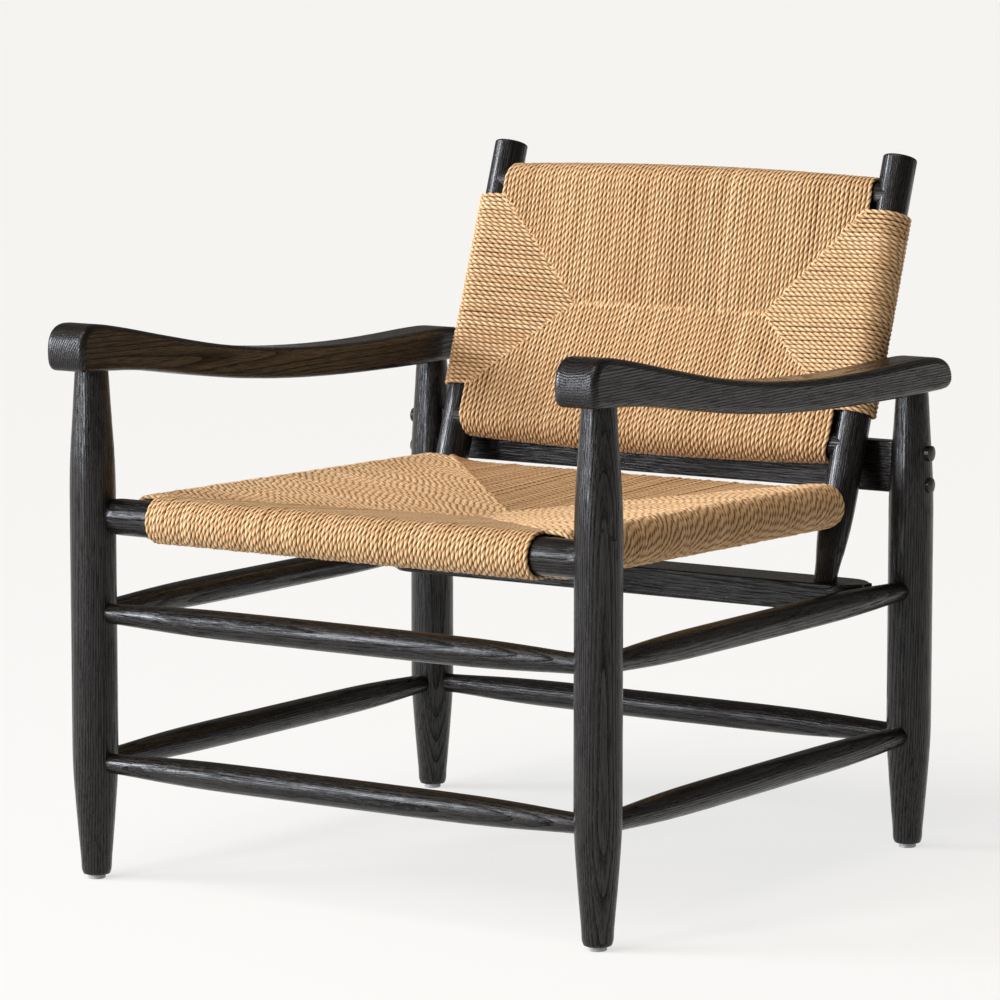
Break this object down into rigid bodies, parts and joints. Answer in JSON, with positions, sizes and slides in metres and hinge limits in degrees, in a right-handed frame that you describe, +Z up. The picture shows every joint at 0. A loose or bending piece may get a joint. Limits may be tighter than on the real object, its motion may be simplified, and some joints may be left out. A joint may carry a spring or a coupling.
{
  "type": "armchair",
  "caption": "Low wooden lounge armchair with a turned, dark-stained frame, shaped armrests and a reclined back; seat and back are woven in natural paper cord.",
  "frame": {"origin": "on the floor under the middle of the overall width and depth", "axes": "+Z up, the sitter faces -Y, +X is the chair's left as the sitter sees it, the right in a view from the front"},
  "size_m": [0.6888, 0.77, 0.7584],
  "materials": {
    "stained_ash": "open-grained ash stained black, satin lacquer",
    "paper_cord": "natural twisted paper cord, matt",
    "glide": "translucent grey plastic"
  },
  "bodies": {
    "root": {"glide_front_left": "glide", "glide_front_right": "glide", "glide_rear_left": "glide", "glide_rear_right": "glide", "leg_front_left": "stained_ash", "leg_front_right": "stained_ash", "leg_rear_left": "stained_ash", "leg_rear_right": "stained_ash", "armrest_left": "stained_ash", "armrest_right": "stained_ash", "stretcher_front_lower": "stained_ash", "stretcher_front_upper": "stained_ash", "stretcher_rear_lower": "stained_ash", "stretcher_left_lower": "stained_ash", "stretcher_left_upper": "stained_ash", "stretcher_right_lower": "stained_ash", "stretcher_right_upper": "stained_ash", "seat_rail_front": "stained_ash", "seat_rail_left": "stained_ash", "seat_rail_right": "stained_ash", "seat_rail_back": "stained_ash", "back_post_left": "stained_ash", "back_post_right": "stained_ash", "back_rail_top": "stained_ash", "back_rail_bottom": "stained_ash", "lower_board": "stained_ash", "cross_board": "stained_ash", "screw_plugs": "stained_ash", "seat_weave": "paper_cord", "back_weave": "paper_cord"}
  },
  "joints": []
}
